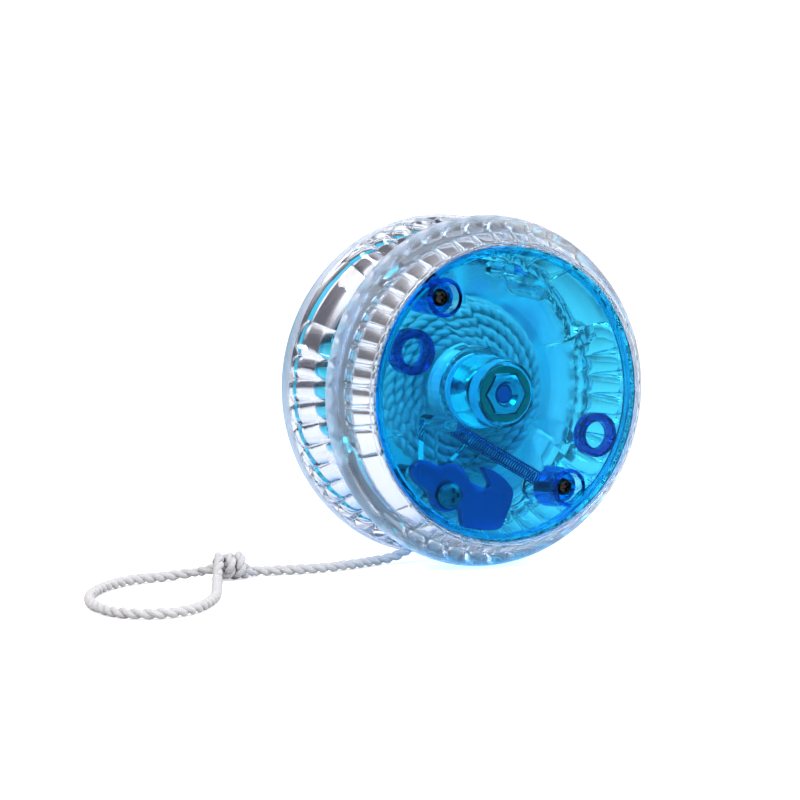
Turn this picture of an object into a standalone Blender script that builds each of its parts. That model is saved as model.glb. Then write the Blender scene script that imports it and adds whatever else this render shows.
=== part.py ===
"""Clutch yo-yo: two clear scalloped halves on an axle, a free-turning spool and a clutch in each half.

The spin axis is Y and the origin is the middle of the axle. The front half faces -Y. Each half is
drawn in its own plane: x to the right, z up, and a depth measured from the middle towards the cap.
The rear half is the front half turned half a turn about X, so the two clutches balance.
"""
import math

import bmesh
import bpy
from mathutils import Matrix, Vector

MM = 0.001
GAP = 0.3
OVERLAP = 0.6          # how far one solid runs into another before they are joined
CUTTER_TOP = 20.0      # past the deepest piece, so that a cutter goes right through

# Half moulding
WALL_OUT, WALL_IN = 2.0, 3.3
BOSS_R, BOSS_TOP = 7.0, 6.6
POCKET_R, POCKET_TOP = 5.9, 5.4
TOWER_R, TOWER_TOP = 5.3, 14.2
RECESS_R, RECESS_FLOOR = 4.8, 11.4
AXLE_R, AXLE_HOLE_R = 1.5, 1.7
DISH_PROFILE = (
    (18.5, 2.0, 0.0), (20.4, 2.3, 0.0), (22.0, 2.9, 0.4), (23.8, 4.0, 1.2), (25.4, 5.1, 1.9),
    (26.7, 6.0, 2.1), (27.4, 6.4, 0.0), (28.2, 6.9, 0.0), (28.5, 7.4, 0.0), (28.5, 8.2, 0.0),
    (28.0, 10.2, 0.0), (26.9, 12.6, 0.0), (25.4, 14.8, 0.0), (24.4, 16.15, 0.0), (23.9, 16.15, 0.0),
    (23.9, 14.2, 0.0), (23.2, 14.2, 0.0), (23.2, 9.2, 0.0), (23.0, 7.8, 0.0), (22.0, 5.4, 0.0),
    (20.2, 3.3, 0.0),
)
FLUTES_PER_TURN = 44
REGULAR_FLUTES = 16
WINDOW_ANGLE = 37.0

# Posts and ribs of the moulding, as (x, z); each has a twin half a turn away
SCREW_POST, SCREW_POST_R, SCREW_POST_TOP, SCREW_HOLE_R = (-11.4, 15.6), 2.4, 8.0, 1.0
PIVOT, PIVOT_POST_R, PIVOT_POST_TOP, PIVOT_HOLE_R = (-8.0, -15.8), 1.6, 10.6, 0.8
PEG, PEG_R, PEG_TOP = (3.8, 18.5), 1.2, 8.0
RIB_TOP = 6.0
RIB_OUTLINE = (
    (13.0, 6.4), (14.6, 5.8), (16.4, 5.5), (18.6, 6.0), (20.4, 7.3), (21.4, 9.0),
    (18.0, 9.5), (17.5, 8.6), (16.8, 7.7), (15.4, 6.9),
)

# Cap
CAP_R, CAP_TOP, CAP_UNDER, CAP_SEAT = 23.6, 16.0, 14.8, 14.5
SKIRT_OUT, SKIRT_IN, SKIRT_END = 22.9, 22.2, 13.5
CAP_BOSS_R, CAP_BOSS_END, CAP_RECESS_R, CAP_RECESS_FLOOR = 3.1, 8.3, 2.5, 13.2
TUBE, TUBE_OUT, TUBE_IN, TUBE_END = (-16.7, 7.2), 3.6, 2.2, 12.8

# Fasteners
CAP_SCREW_HEAD_R, CAP_SCREW_SHANK_R, CAP_SCREW_HEAD, CAP_SCREW_TIP = 1.4, 0.85, 1.1, 5.2
PIVOT_SCREW_HEAD_R, PIVOT_SCREW_SHANK_R, PIVOT_SCREW_HEAD, PIVOT_SCREW_TIP = 2.05, 0.65, 1.0, 5.0
SCREW_CLEARANCE = 0.1
NUT_FLATS = 6.0
NUT_LOW, NUT_HIGH = 11.7, 14.4
HOLDER_FLATS, HOLDER_R, HOLDER_HIGH = 6.6, 4.5, 14.2
AXLE_END = 13.6

# Clutch
ARM_LOW, ARM_HIGH = 3.6, 5.1
PLATE_LOW, PLATE_HIGH = 8.6, 10.2
COLLAR_R, ARM_BORE_R, FLYWEIGHT_BORE_R = 2.4, 1.7, 1.75
HORN, HORN_R, HORN_TOP = (-7.8, -4.75), 1.2, 10.8
PAD_RISER, PAD_RISER_R, PAD_BAR_HALF = (-12.0, -12.4), 1.35, 1.4
SHOE_ROOT, SHOE_BAR_HALF = (0.9, -8.2), 1.25
SHOE_ANGLES = (-105.0, -60.0)
SHOE_FACE, SHOE_OUT = 5.9, 7.7
WINDOW_SLOT = (-120.0, -38.0)
FLYWEIGHT_OUTLINE = (
    (-13.9, -11.5), (-13.6, -10.8), (-12.9, -10.3), (-12.0, -10.1), (-11.0, -10.4), (-10.1, -10.9),
    (-9.1, -11.1), (-8.2, -10.8), (-7.2, -10.8), (-6.1, -11.2), (-5.1, -12.0), (-4.4, -12.9),
    (-4.0, -13.8), (-3.2, -14.3), (-2.3, -14.7), (-1.3, -15.1), (-0.5, -14.9), (-0.4, -14.2),
    (-1.0, -13.2), (-1.6, -11.7), (0.1, -12.3), (2.0, -13.6), (3.1, -14.8), (3.7, -16.0),
    (3.3, -17.8), (2.4, -19.8), (1.3, -21.6), (-1.0, -21.7), (-3.1, -21.4), (-5.0, -20.8),
    (-5.5, -18.4), (-6.4, -17.9), (-7.4, -18.35), (-8.6, -18.35), (-9.8, -17.7), (-10.5, -16.6),
    (-10.7, -15.4), (-11.6, -14.6), (-12.8, -13.8), (-13.7, -12.6),
)
SPRING_START, SPRING_END, SPRING_DEPTH = (-6.5, -5.5), (8.5, -14.1), 9.4
SPRING_R, WIRE_R, SPRING_TURNS = 1.05, 0.15, 20

# Spool and string
SPOOL_R, SPOOL_HALF, SPOOL_BORE_R = 5.6, 5.1, 1.6
WINDING_IN, WINDING_OUT, WINDING_HALF, WINDING_BEVEL = 5.9, 14.5, 1.7, (0.7, 0.8)
CORD_R = 0.85
TAIL_PATH = (
    (3.0, 0.0, -15.4), (-2.0, 0.0, -19.8), (-6.2, 0.0, -23.4), (-9.4, 0.0, -25.8), (-12.6, -0.1, -27.2),
    (-16.6, -0.5, -27.6), (-21.0, -2.0, -27.6), (-26.0, -3.0, -27.6), (-31.0, -2.8, -27.6),
    (-35.5, -1.9, -27.6), (-38.6, -1.7, -27.5),
)
KNOT_CENTRE, KNOT_RADII = (-42.6, -2.9, -26.2), (3.6, 2.7, 2.25)
LOOP_PATH = (
    (-46.6, -6.6, -27.2), (-49.6, -13.5, -27.6), (-53.6, -22.0, -27.6), (-59.0, -28.6, -27.6),
    (-65.0, -30.9, -27.6), (-70.2, -27.6, -27.6), (-71.6, -20.5, -27.6), (-69.6, -12.6, -27.6),
    (-65.0, -5.6, -27.6), (-59.0, -1.0, -27.6), (-52.4, 0.2, -27.6), (-47.4, -0.9, -27.1),
)

MATERIALS = {
    "clear_plastic": ((0.86, 0.92, 0.97, 1.0), 0.0, 0.08, 0.9),
    "blue_clear_plastic": ((0.02, 0.45, 0.85, 1.0), 0.0, 0.08, 0.8),
    "clutch_plastic": ((0.75, 0.85, 0.92, 1.0), 0.0, 0.2, 0.6),
    "spool_plastic": ((0.85, 0.88, 0.9, 1.0), 0.0, 0.35, 0.0),
    "polished_steel": ((0.52, 0.54, 0.58, 1.0), 1.0, 0.2, 0.0),
    "dark_steel": ((0.16, 0.16, 0.18, 1.0), 1.0, 0.3, 0.0),
    "green_plastic": ((0.02, 0.22, 0.12, 1.0), 0.0, 0.4, 0.0),
    "cotton_string": ((0.93, 0.93, 0.93, 1.0), 0.0, 0.9, 0.0),
}


def clear_scene():
    for obj in list(bpy.data.objects):
        bpy.data.objects.remove(obj, do_unlink=True)


def material(name):
    """Return the named plain material, making it on first use."""
    found = bpy.data.materials.get(name)
    if found:
        return found
    color, metallic, roughness, transmission = MATERIALS[name]
    made = bpy.data.materials.new(name)
    made.use_nodes = True
    shader = made.node_tree.nodes["Principled BSDF"]
    shader.inputs["Base Color"].default_value = color
    shader.inputs["Metallic"].default_value = metallic
    shader.inputs["Roughness"].default_value = roughness
    shader.inputs["Transmission Weight"].default_value = transmission
    made.diffuse_color = color
    return made


def add_object(name, vertices, faces):
    """Make an object from millimetre vertices, with its normals facing out."""
    mesh = bpy.data.meshes.new(name)
    mesh.from_pydata([Vector(v) * MM for v in vertices], [], faces)
    shape = bmesh.new()
    shape.from_mesh(mesh)
    bmesh.ops.recalc_face_normals(shape, faces=shape.faces)
    shape.to_mesh(mesh)
    shape.free()
    obj = bpy.data.objects.new(name, mesh)
    bpy.context.scene.collection.objects.link(obj)
    return obj


def finish(obj, material_name, turned=False):
    """Give a finished sub-part its material, and turn it over to the rear half if asked."""
    if turned:
        obj.data.transform(Matrix.Rotation(math.pi, 4, "X"))
    obj.data.materials.clear()
    obj.data.materials.append(material(material_name))
    return obj


def at_angle(radius, degrees):
    angle = math.radians(degrees)
    return radius * math.cos(angle), radius * math.sin(angle)


def turned_solid(name, profile, angles, centre=(0.0, 0.0)):
    """Revolve a closed (radius, depth) outline about a line along Y through centre."""
    vertices, faces = [], []
    count, columns = len(profile), len(angles)
    for degrees in angles:
        for radius, depth in profile:
            x, z = at_angle(radius, degrees)
            vertices.append((centre[0] + x, -depth, centre[1] + z))
    for column in range(columns):
        following = (column + 1) % columns
        for row in range(count):
            below = (row + 1) % count
            faces.append((column * count + row, column * count + below,
                          following * count + below, following * count + row))
    return add_object(name, vertices, faces)


def even_angles(count, start=0.0):
    return [start + 360.0 * index / count for index in range(count)]


def ring(name, centre, outer, inner, low, high, count=14):
    profile = ((inner, low), (outer, low), (outer, high), (inner, high))
    return turned_solid(name, profile, even_angles(count), centre)


def prism(name, outline, low, high):
    """Stand an (x, z) outline up between two depths."""
    count = len(outline)
    vertices = [(x, -low, z) for x, z in outline] + [(x, -high, z) for x, z in outline]
    faces = [tuple(range(count)), tuple(range(2 * count - 1, count - 1, -1))]
    for index in range(count):
        following = (index + 1) % count
        faces.append((index, index + count, following + count, following))
    return add_object(name, vertices, faces)


def disc(name, centre, radius, low, high, count=14):
    outline = [(centre[0] + x, centre[1] + z) for x, z in
               (at_angle(radius, degrees) for degrees in even_angles(count))]
    return prism(name, outline, low, high)


def bar_outline(start, end, half_width, steps=6):
    """Outline of a straight bar with round ends."""
    direction = math.degrees(math.atan2(end[1] - start[1], end[0] - start[0]))
    points = []
    for centre, first in ((end, direction - 90.0), (start, direction + 90.0)):
        for step in range(steps + 1):
            x, z = at_angle(half_width, first + 180.0 * step / steps)
            points.append((centre[0] + x, centre[1] + z))
    return points


def sector_outline(inner, outer, first, last, steps):
    angles = [first + (last - first) * step / steps for step in range(steps + 1)]
    return [at_angle(outer, angle) for angle in angles] + [at_angle(inner, angle) for angle in reversed(angles)]


def shoe_outline(steps):
    """Brake shoe: round on the outside, with a flat rubbing face towards the spool."""
    first, last = SHOE_ANGLES
    corner = SHOE_FACE / math.cos(math.radians(0.5 * (last - first)))
    arc = [at_angle(SHOE_OUT, first + (last - first) * step / steps) for step in range(steps + 1)]
    return arc + [at_angle(corner, last), at_angle(corner, first)]


def combine(target, tool, operation):
    """Apply one exact Boolean to target and drop the tool."""
    change = target.modifiers.new("combine", "BOOLEAN")
    change.operation = operation
    change.solver = "EXACT"
    change.object = tool
    graph = bpy.context.evaluated_depsgraph_get()
    result = bpy.data.meshes.new_from_object(target.evaluated_get(graph))
    target.modifiers.clear()
    target.data = result
    bpy.data.objects.remove(tool, do_unlink=True)
    return target


def join_all(target, tools):
    for tool in tools:
        combine(target, tool, "UNION")
    return target


def cut_all(target, tools):
    for tool in tools:
        combine(target, tool, "DIFFERENCE")
    return target


def twins(point):
    return point, (-point[0], -point[1])


def flute_columns():
    """Angles round the dish with the depth share of each: 0 on a ridge or window, 1 in a groove."""
    pitch = 360.0 / FLUTES_PER_TURN
    columns = []
    for start in (WINDOW_ANGLE, WINDOW_ANGLE + 180.0):
        columns.append((start, 0.0))
        angle = start + 1.5 * pitch
        widths = [1.5] + [1.0] * REGULAR_FLUTES + [1.5]
        for width in widths:
            columns.append((angle, 0.0))
            columns.append((angle + 0.5 * width * pitch, 1.0))
            angle += width * pitch
        columns.append((angle, 0.0))
    return columns


def dish():
    """The scalloped outer ring of a half, from the flat wall to the cap seat."""
    columns = flute_columns()
    vertices, faces = [], []
    count = len(DISH_PROFILE)
    for degrees, share in columns:
        for radius, depth, groove in DISH_PROFILE:
            x, z = at_angle(radius, degrees)
            vertices.append((x, -(depth + share * groove), z))
    for column in range(len(columns)):
        following = (column + 1) % len(columns)
        for row in range(count - 1):
            faces.append((column * count + row, column * count + row + 1,
                          following * count + row + 1, following * count + row))
    # Carry the wall's two faces in to the rim of the hub hole.
    hub = len(vertices)
    for degrees, _ in columns:
        for depth in (WALL_OUT, WALL_IN):
            x, z = at_angle(BOSS_R - 0.5, degrees)
            vertices.append((x, -depth, z))
    for column in range(len(columns)):
        following = (column + 1) % len(columns)
        outer, inner = hub + 2 * column, hub + 2 * column + 1
        outer_next, inner_next = hub + 2 * following, hub + 2 * following + 1
        faces.append((column * count, following * count, outer_next, outer))
        faces.append((column * count + count - 1, inner, inner_next, following * count + count - 1))
        faces.append((outer, outer_next, inner_next, inner))
    return add_object("dish", vertices, faces)


def half_shell(name, turned):
    """The clear moulding: scalloped dish, hub boss, tower, posts, pegs and ribs."""
    hub_profile = (
        (AXLE_HOLE_R, POCKET_TOP), (POCKET_R, POCKET_TOP), (POCKET_R, WALL_OUT), (BOSS_R, WALL_OUT),
        (BOSS_R, BOSS_TOP), (TOWER_R + 0.3, BOSS_TOP), (TOWER_R, TOWER_TOP), (RECESS_R, TOWER_TOP),
        (RECESS_R, RECESS_FLOOR), (AXLE_HOLE_R, RECESS_FLOOR),
    )
    shell = dish()
    shell.name = name
    root = WALL_IN - OVERLAP
    parts = [turned_solid("hub", hub_profile, even_angles(28))]
    for point in twins(SCREW_POST):
        parts.append(ring("screw_post", point, SCREW_POST_R, SCREW_HOLE_R, root, SCREW_POST_TOP))
    for point in twins(PIVOT):
        parts.append(ring("pivot_post", point, PIVOT_POST_R, PIVOT_HOLE_R, root, PIVOT_POST_TOP, 16))
    for point in twins(PEG):
        parts.append(disc("peg", point, PEG_R, root, PEG_TOP, 14))
    for sign in (1.0, -1.0):
        outline = [(sign * x, sign * z) for x, z in RIB_OUTLINE]
        parts.append(prism("rib", outline, root, RIB_TOP))
    join_all(shell, parts)
    slot = sector_outline(POCKET_R - OVERLAP, BOSS_R + 1.0, *WINDOW_SLOT, 8)
    cut_all(shell, [prism("slot", slot, WALL_IN, POCKET_TOP)])
    return finish(shell, "clear_plastic", turned)


def cap(name, turned):
    profile = (
        (0.6, CAP_UNDER), (SKIRT_IN, CAP_UNDER), (SKIRT_IN, SKIRT_END), (SKIRT_OUT, SKIRT_END),
        (SKIRT_OUT, CAP_SEAT), (CAP_R, CAP_SEAT), (CAP_R, CAP_TOP - 0.3), (CAP_R - 0.3, CAP_TOP), (0.6, CAP_TOP),
    )
    body = turned_solid(name, profile, even_angles(48))
    parts = [disc("centre", (0.0, 0.0), 1.2, CAP_UNDER, CAP_TOP, 12)]
    cuts = []
    for point in twins(SCREW_POST):
        parts.append(disc("boss", point, CAP_BOSS_R, CAP_BOSS_END, CAP_UNDER + OVERLAP))
        cuts.append(disc("hole", point, SCREW_HOLE_R, CAP_BOSS_END - 1.0, CAP_TOP, 12))
        cuts.append(disc("recess", point, CAP_RECESS_R, CAP_RECESS_FLOOR, CAP_TOP + 1.0))
    for point in twins(TUBE):
        parts.append(ring("tube", point, TUBE_OUT, TUBE_IN, TUBE_END, CAP_UNDER + 0.5, 18))
    join_all(body, parts)
    cut_all(body, cuts)
    return finish(body, "blue_clear_plastic", turned)


def cross_recess(screw, centre, top, size, depth):
    """Sink a cross-shaped driver recess into a screw head."""
    for width, height in ((size, size * 0.28), (size * 0.28, size)):
        corners = [(centre[0] + sx * width, centre[1] + sz * height) for sx, sz in
                   ((-1, -1), (1, -1), (1, 1), (-1, 1))]
        combine(screw, prism("cross", corners, top - depth, top + 0.5), "DIFFERENCE")


def screw(name, centre, head_r, shank_r, seat, head_height, tip, turned):
    profile = (
        (0.0001, tip), (shank_r, tip + 0.4), (shank_r, seat), (head_r, seat),
        (head_r, seat + 0.5 * head_height), (0.7 * head_r, seat + head_height), (0.0001, seat + head_height),
    )
    body = turned_solid(name, profile, even_angles(16), centre)
    weld = bmesh.new()
    weld.from_mesh(body.data)
    bmesh.ops.remove_doubles(weld, verts=weld.verts, dist=0.000001)
    bmesh.ops.recalc_face_normals(weld, faces=weld.faces)
    weld.to_mesh(body.data)
    weld.free()
    cross_recess(body, centre, seat + head_height, 0.6 * head_r, 0.5 * head_height)
    return finish(body, "dark_steel", turned)


def hexagon(flats):
    return [at_angle(flats / math.sqrt(3.0), degrees) for degrees in even_angles(6)]


def nut(name, turned):
    body = prism(name, hexagon(NUT_FLATS), NUT_LOW, NUT_HIGH)
    cut_all(body, [disc("thread", (0.0, 0.0), AXLE_R + SCREW_CLEARANCE, 0.0, CUTTER_TOP, 18)])
    return finish(body, "polished_steel", turned)


def nut_holder(name, turned):
    """Round plug with a hexagonal hole that keeps the nut from turning."""
    body = disc(name, (0.0, 0.0), HOLDER_R, NUT_LOW, HOLDER_HIGH, 24)
    cut_all(body, [prism("socket", hexagon(HOLDER_FLATS), 0.0, CUTTER_TOP)])
    return finish(body, "green_plastic", turned)


def brake_arm(name, turned):
    """Clear lever with its collar, flyweight pad, spring horn and brake shoe."""
    arm = disc(name, PIVOT, COLLAR_R, ARM_LOW, PLATE_LOW - GAP, 18)
    join_all(arm, [
        prism("horn_bar", bar_outline(PIVOT, HORN, HORN_R), ARM_LOW, ARM_HIGH),
        prism("shoe_bar", bar_outline(PIVOT, SHOE_ROOT, SHOE_BAR_HALF), ARM_LOW, ARM_HIGH),
        prism("pad_bar", bar_outline(PIVOT, PAD_RISER, PAD_BAR_HALF), ARM_LOW, ARM_HIGH),
        disc("horn", HORN, HORN_R, ARM_LOW, HORN_TOP, 14),
        disc("pad_riser", PAD_RISER, PAD_RISER_R, ARM_LOW, PLATE_LOW - GAP, 14),
        prism("shoe", shoe_outline(6), ARM_LOW, ARM_HIGH),
    ])
    cut_all(arm, [disc("bore", PIVOT, ARM_BORE_R, 0.0, CUTTER_TOP, 16)])
    return finish(arm, "clutch_plastic", turned)


def flyweight(name, turned):
    plate = prism(name, FLYWEIGHT_OUTLINE, PLATE_LOW, PLATE_HIGH)
    cut_all(plate, [disc("bore", PIVOT, FLYWEIGHT_BORE_R, 0.0, CUTTER_TOP, 16)])
    return finish(plate, "polished_steel", turned)


def sweep(name, path, radius, sides):
    """Tube of even thickness along a list of points, with closed ends."""
    vertices, faces = [], []
    points = [Vector(point) for point in path]
    side = None
    for index, point in enumerate(points):
        ahead = points[min(index + 1, len(points) - 1)] - points[max(index - 1, 0)]
        ahead.normalize()
        reference = side if side else (Vector((0, 0, 1)) if abs(ahead.z) < 0.9 else Vector((1, 0, 0)))
        side = (reference - ahead * reference.dot(ahead)).normalized()
        other = ahead.cross(side)
        for step in range(sides):
            angle = 2.0 * math.pi * step / sides
            vertices.append(point + radius * (math.cos(angle) * side + math.sin(angle) * other))
    for index in range(len(points) - 1):
        for step in range(sides):
            following = (step + 1) % sides
            faces.append((index * sides + step, index * sides + following,
                          (index + 1) * sides + following, (index + 1) * sides + step))
    faces.append(tuple(range(sides - 1, -1, -1)))
    last = (len(points) - 1) * sides
    faces.append(tuple(range(last, last + sides)))
    return add_object(name, vertices, faces)


def spring(name, turned):
    """Compression spring from the brake arm's horn to the cap's screw boss."""
    start = Vector((SPRING_START[0], -SPRING_DEPTH, SPRING_START[1]))
    end = Vector((SPRING_END[0], -SPRING_DEPTH, SPRING_END[1]))
    axis = (end - start).normalized()
    across = Vector((0.0, 1.0, 0.0))
    upward = axis.cross(across)
    length = (end - start).length - 2.0 * WIRE_R
    per_turn = 6
    path = []
    for step in range(SPRING_TURNS * per_turn + 1):
        angle = 2.0 * math.pi * step / per_turn
        along = WIRE_R + length * step / (SPRING_TURNS * per_turn)
        path.append(start + axis * along + SPRING_R * (math.cos(angle) * across + math.sin(angle) * upward))
    return finish(sweep(name, path, WIRE_R, 4), "polished_steel", turned)


def half(side, turned):
    """Every sub-part of one half."""
    half_shell(side + "_shell", turned)
    cap(side + "_cap", turned)
    for index, point in enumerate(twins(SCREW_POST), 1):
        screw(f"{side}_cap_screw_{index}", point, CAP_SCREW_HEAD_R, CAP_SCREW_SHANK_R,
              CAP_RECESS_FLOOR + SCREW_CLEARANCE, CAP_SCREW_HEAD, CAP_SCREW_TIP, turned)
    nut_holder(side + "_nut_holder", turned)
    nut(side + "_nut", turned)
    brake_arm(side + "_brake_arm", turned)
    flyweight(side + "_flyweight", turned)
    screw(side + "_pivot_screw", PIVOT, PIVOT_SCREW_HEAD_R, PIVOT_SCREW_SHANK_R,
          PIVOT_POST_TOP + SCREW_CLEARANCE, PIVOT_SCREW_HEAD, PIVOT_SCREW_TIP, turned)
    spring(side + "_spring", turned)


def axle():
    end = AXLE_END
    profile = ((0.4, -end), (AXLE_R - 0.2, -end), (AXLE_R, -end + 0.2), (AXLE_R, end - 0.2), (AXLE_R - 0.2, end),
               (0.4, end))
    body = turned_solid("axle", profile, even_angles(20))
    join_all(body, [disc("core", (0.0, 0.0), 0.8, -end, end, 10)])
    return finish(body, "polished_steel")


def spool():
    body = ring("spool", (0.0, 0.0), SPOOL_R, SPOOL_BORE_R, -SPOOL_HALF, SPOOL_HALF, 32)
    return finish(body, "spool_plastic")


def winding():
    shoulder_r, edge_half = WINDING_OUT - WINDING_BEVEL[0], WINDING_HALF - WINDING_BEVEL[1]
    profile = (
        (WINDING_IN, -WINDING_HALF), (shoulder_r, -WINDING_HALF), (WINDING_OUT, -edge_half),
        (WINDING_OUT, edge_half), (shoulder_r, WINDING_HALF), (WINDING_IN, WINDING_HALF),
    )
    return finish(turned_solid("string_winding", profile, even_angles(32)), "cotton_string")


def smooth_path(path, steps):
    """Catmull-Rom curve through the given points."""
    points = [Vector(point) for point in path]
    padded = [2 * points[0] - points[1]] + points + [2 * points[-1] - points[-2]]
    curve = []
    for index in range(1, len(padded) - 2):
        a, b, c, d = padded[index - 1:index + 3]
        for step in range(steps):
            t = step / steps
            curve.append(0.5 * (2 * b + (c - a) * t + (2 * a - 5 * b + 4 * c - d) * t ** 2
                                + (3 * b - a - 3 * c + d) * t ** 3))
    return curve + [points[-1]]


def cord_tube(name, path):
    """One free stretch of string, as a bevelled curve with filled ends."""
    points = smooth_path(path, 2)
    curve = bpy.data.curves.new(name, "CURVE")
    curve.dimensions = "3D"
    curve.bevel_depth = CORD_R * MM
    curve.bevel_resolution = 2
    curve.use_fill_caps = True
    spline = curve.splines.new("POLY")
    spline.points.add(len(points) - 1)
    for spot, point in zip(spline.points, points):
        spot.co = (*(point * MM), 1.0)
    tube = bpy.data.objects.new(name, curve)
    bpy.context.scene.collection.objects.link(tube)
    curve.materials.append(material("cotton_string"))


def knot():
    shape = bmesh.new()
    bmesh.ops.create_icosphere(shape, subdivisions=2, radius=MM)
    mesh = bpy.data.meshes.new("string_knot")
    shape.to_mesh(mesh)
    shape.free()
    mesh.transform(Matrix.Translation(Vector(KNOT_CENTRE) * MM) @ Matrix.Diagonal((*KNOT_RADII, 1.0)))
    body = bpy.data.objects.new("string_knot", mesh)
    bpy.context.scene.collection.objects.link(body)
    return finish(body, "cotton_string")


def main():
    clear_scene()
    half("front", False)
    half("rear", True)
    axle()
    spool()
    winding()
    cord_tube("string_tail", TAIL_PATH)
    knot()
    cord_tube("finger_loop", LOOP_PATH)


main()
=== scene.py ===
"""Looks of the clutch yo-yo: clear scalloped halves, blue see-through caps, clutch parts and string.

Everything is in the frame of the CAD model: the spin axis is Y, the front half faces -Y. A half is
drawn in its own plane in millimetres: x to the right, z up, and a depth from the middle to the cap.
"""
import math

import bmesh
import bpy
import numpy as np
from mathutils import Matrix, Vector


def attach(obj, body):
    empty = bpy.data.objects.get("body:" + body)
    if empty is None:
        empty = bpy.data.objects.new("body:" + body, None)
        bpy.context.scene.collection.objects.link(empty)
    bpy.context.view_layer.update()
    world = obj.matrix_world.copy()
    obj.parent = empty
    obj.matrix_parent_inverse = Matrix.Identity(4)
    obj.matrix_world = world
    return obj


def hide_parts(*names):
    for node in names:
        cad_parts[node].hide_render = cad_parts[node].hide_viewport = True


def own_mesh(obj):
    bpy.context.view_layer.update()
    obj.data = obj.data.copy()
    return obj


MM = 0.001

# Half moulding, as in the CAD model
WALL_OUT, WALL_IN = 2.0, 3.3
BOSS_R, BOSS_TOP = 7.0, 6.6
POCKET_R, POCKET_TOP = 5.9, 5.4
TOWER_R, TOWER_TOP = 5.3, 14.2
RECESS_R, RECESS_FLOOR = 4.8, 11.4
AXLE_HOLE_R = 1.7
FLUTES_PER_TURN, REGULAR_FLUTES, WINDOW_ANGLE = 44, 16, 37.0
FLUTE_START, FLUTE_END, FLUTE_DEPTH = 20.6, 28.0, 2.1
FLUTE_RISE, FLUTE_WALL, FLUTE_ROUNDING, FLUTE_STEPS = 5.2, 0.35, 0.9, 12
SCREW_POST, SCREW_POST_R, SCREW_POST_TOP, SCREW_HOLE_R = (-11.4, 15.6), 2.4, 8.0, 1.0
PIVOT, PIVOT_POST_R, PIVOT_POST_TOP, PIVOT_HOLE_R = (-8.0, -15.8), 1.6, 10.6, 0.8
PEG, PEG_R, PEG_TOP = (3.8, 18.5), 1.2, 8.0
RIB_TOP = 6.0
OVERLAP = 0.5
FROST_R, FROST_DEPTH, LIP_R, RUBBED_R = 24.3, 7.6, 28.2, 14.6
FROST_COARSE, FROST_FINE, FROST_CLEARNESS, FROST_SPAN = 0.65, 0.06, 0.9, (7.5, 12.0)
RIB_OUTLINE = (
    (13.0, 6.4), (14.6, 5.8), (16.4, 5.5), (18.6, 6.0), (20.4, 7.3), (21.4, 9.0),
    (18.0, 9.5), (17.5, 8.6), (16.8, 7.7), (15.4, 6.9),
)
# Section of the half as runs of (radius, depth): straight runs, and runs drawn as smooth curves
POCKET_RUN = ((AXLE_HOLE_R, POCKET_TOP), (POCKET_R, POCKET_TOP), (POCKET_R, WALL_OUT), (RUBBED_R, WALL_OUT))
FLARE_CURVE = (
    (18.5, 2.0), (20.4, 2.3), (22.0, 2.9), (23.8, 4.0), (25.4, 5.1), (26.7, 6.0),
    (27.4, 6.4), (28.2, 6.9), (28.47, 7.4), (28.5, 7.8),
)
SHOULDER_CURVE = ((28.5, 7.8), (28.45, 8.6), (28.0, 10.2), (26.9, 12.6), (25.4, 14.8), (24.55, 15.9))
LIP_CURVE = ((24.55, 15.9), (24.4, 16.1), (24.2, 16.15), (24.0, 16.1), (23.9, 15.95))
SEAT_RUN = ((23.9, 14.2), (23.2, 14.2))
FLOOR_CURVE = ((23.2, 9.2), (23.0, 7.8), (22.0, 5.4), (20.9, 3.9), (20.2, 3.4), (19.6, 3.3))
HUB_RUN = (
    (12.0, WALL_IN), (BOSS_R + 0.3, WALL_IN), (BOSS_R, WALL_IN + 0.3), (BOSS_R, BOSS_TOP - 0.2),
    (BOSS_R - 0.2, BOSS_TOP), (TOWER_R + 0.6, BOSS_TOP), (TOWER_R + 0.3, BOSS_TOP + 0.3),
    (TOWER_R, TOWER_TOP - 0.2), (TOWER_R - 0.15, TOWER_TOP), (RECESS_R, TOWER_TOP),
    (RECESS_R, RECESS_FLOOR), (AXLE_HOLE_R, RECESS_FLOOR),
)

# Cap
CAP_R, CAP_TOP, CAP_UNDER, CAP_SEAT = 23.6, 16.0, 14.8, 14.5
SKIRT_OUT, SKIRT_IN, SKIRT_END = 22.9, 22.2, 13.5
CAP_BOSS_R, CAP_BOSS_END, CAP_RECESS_R, CAP_RECESS_FLOOR = 3.1, 8.3, 2.5, 13.2
TUBE, TUBE_OUT, TUBE_IN, TUBE_END = (-16.7, 7.2), 3.6, 2.2, 12.8

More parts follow.
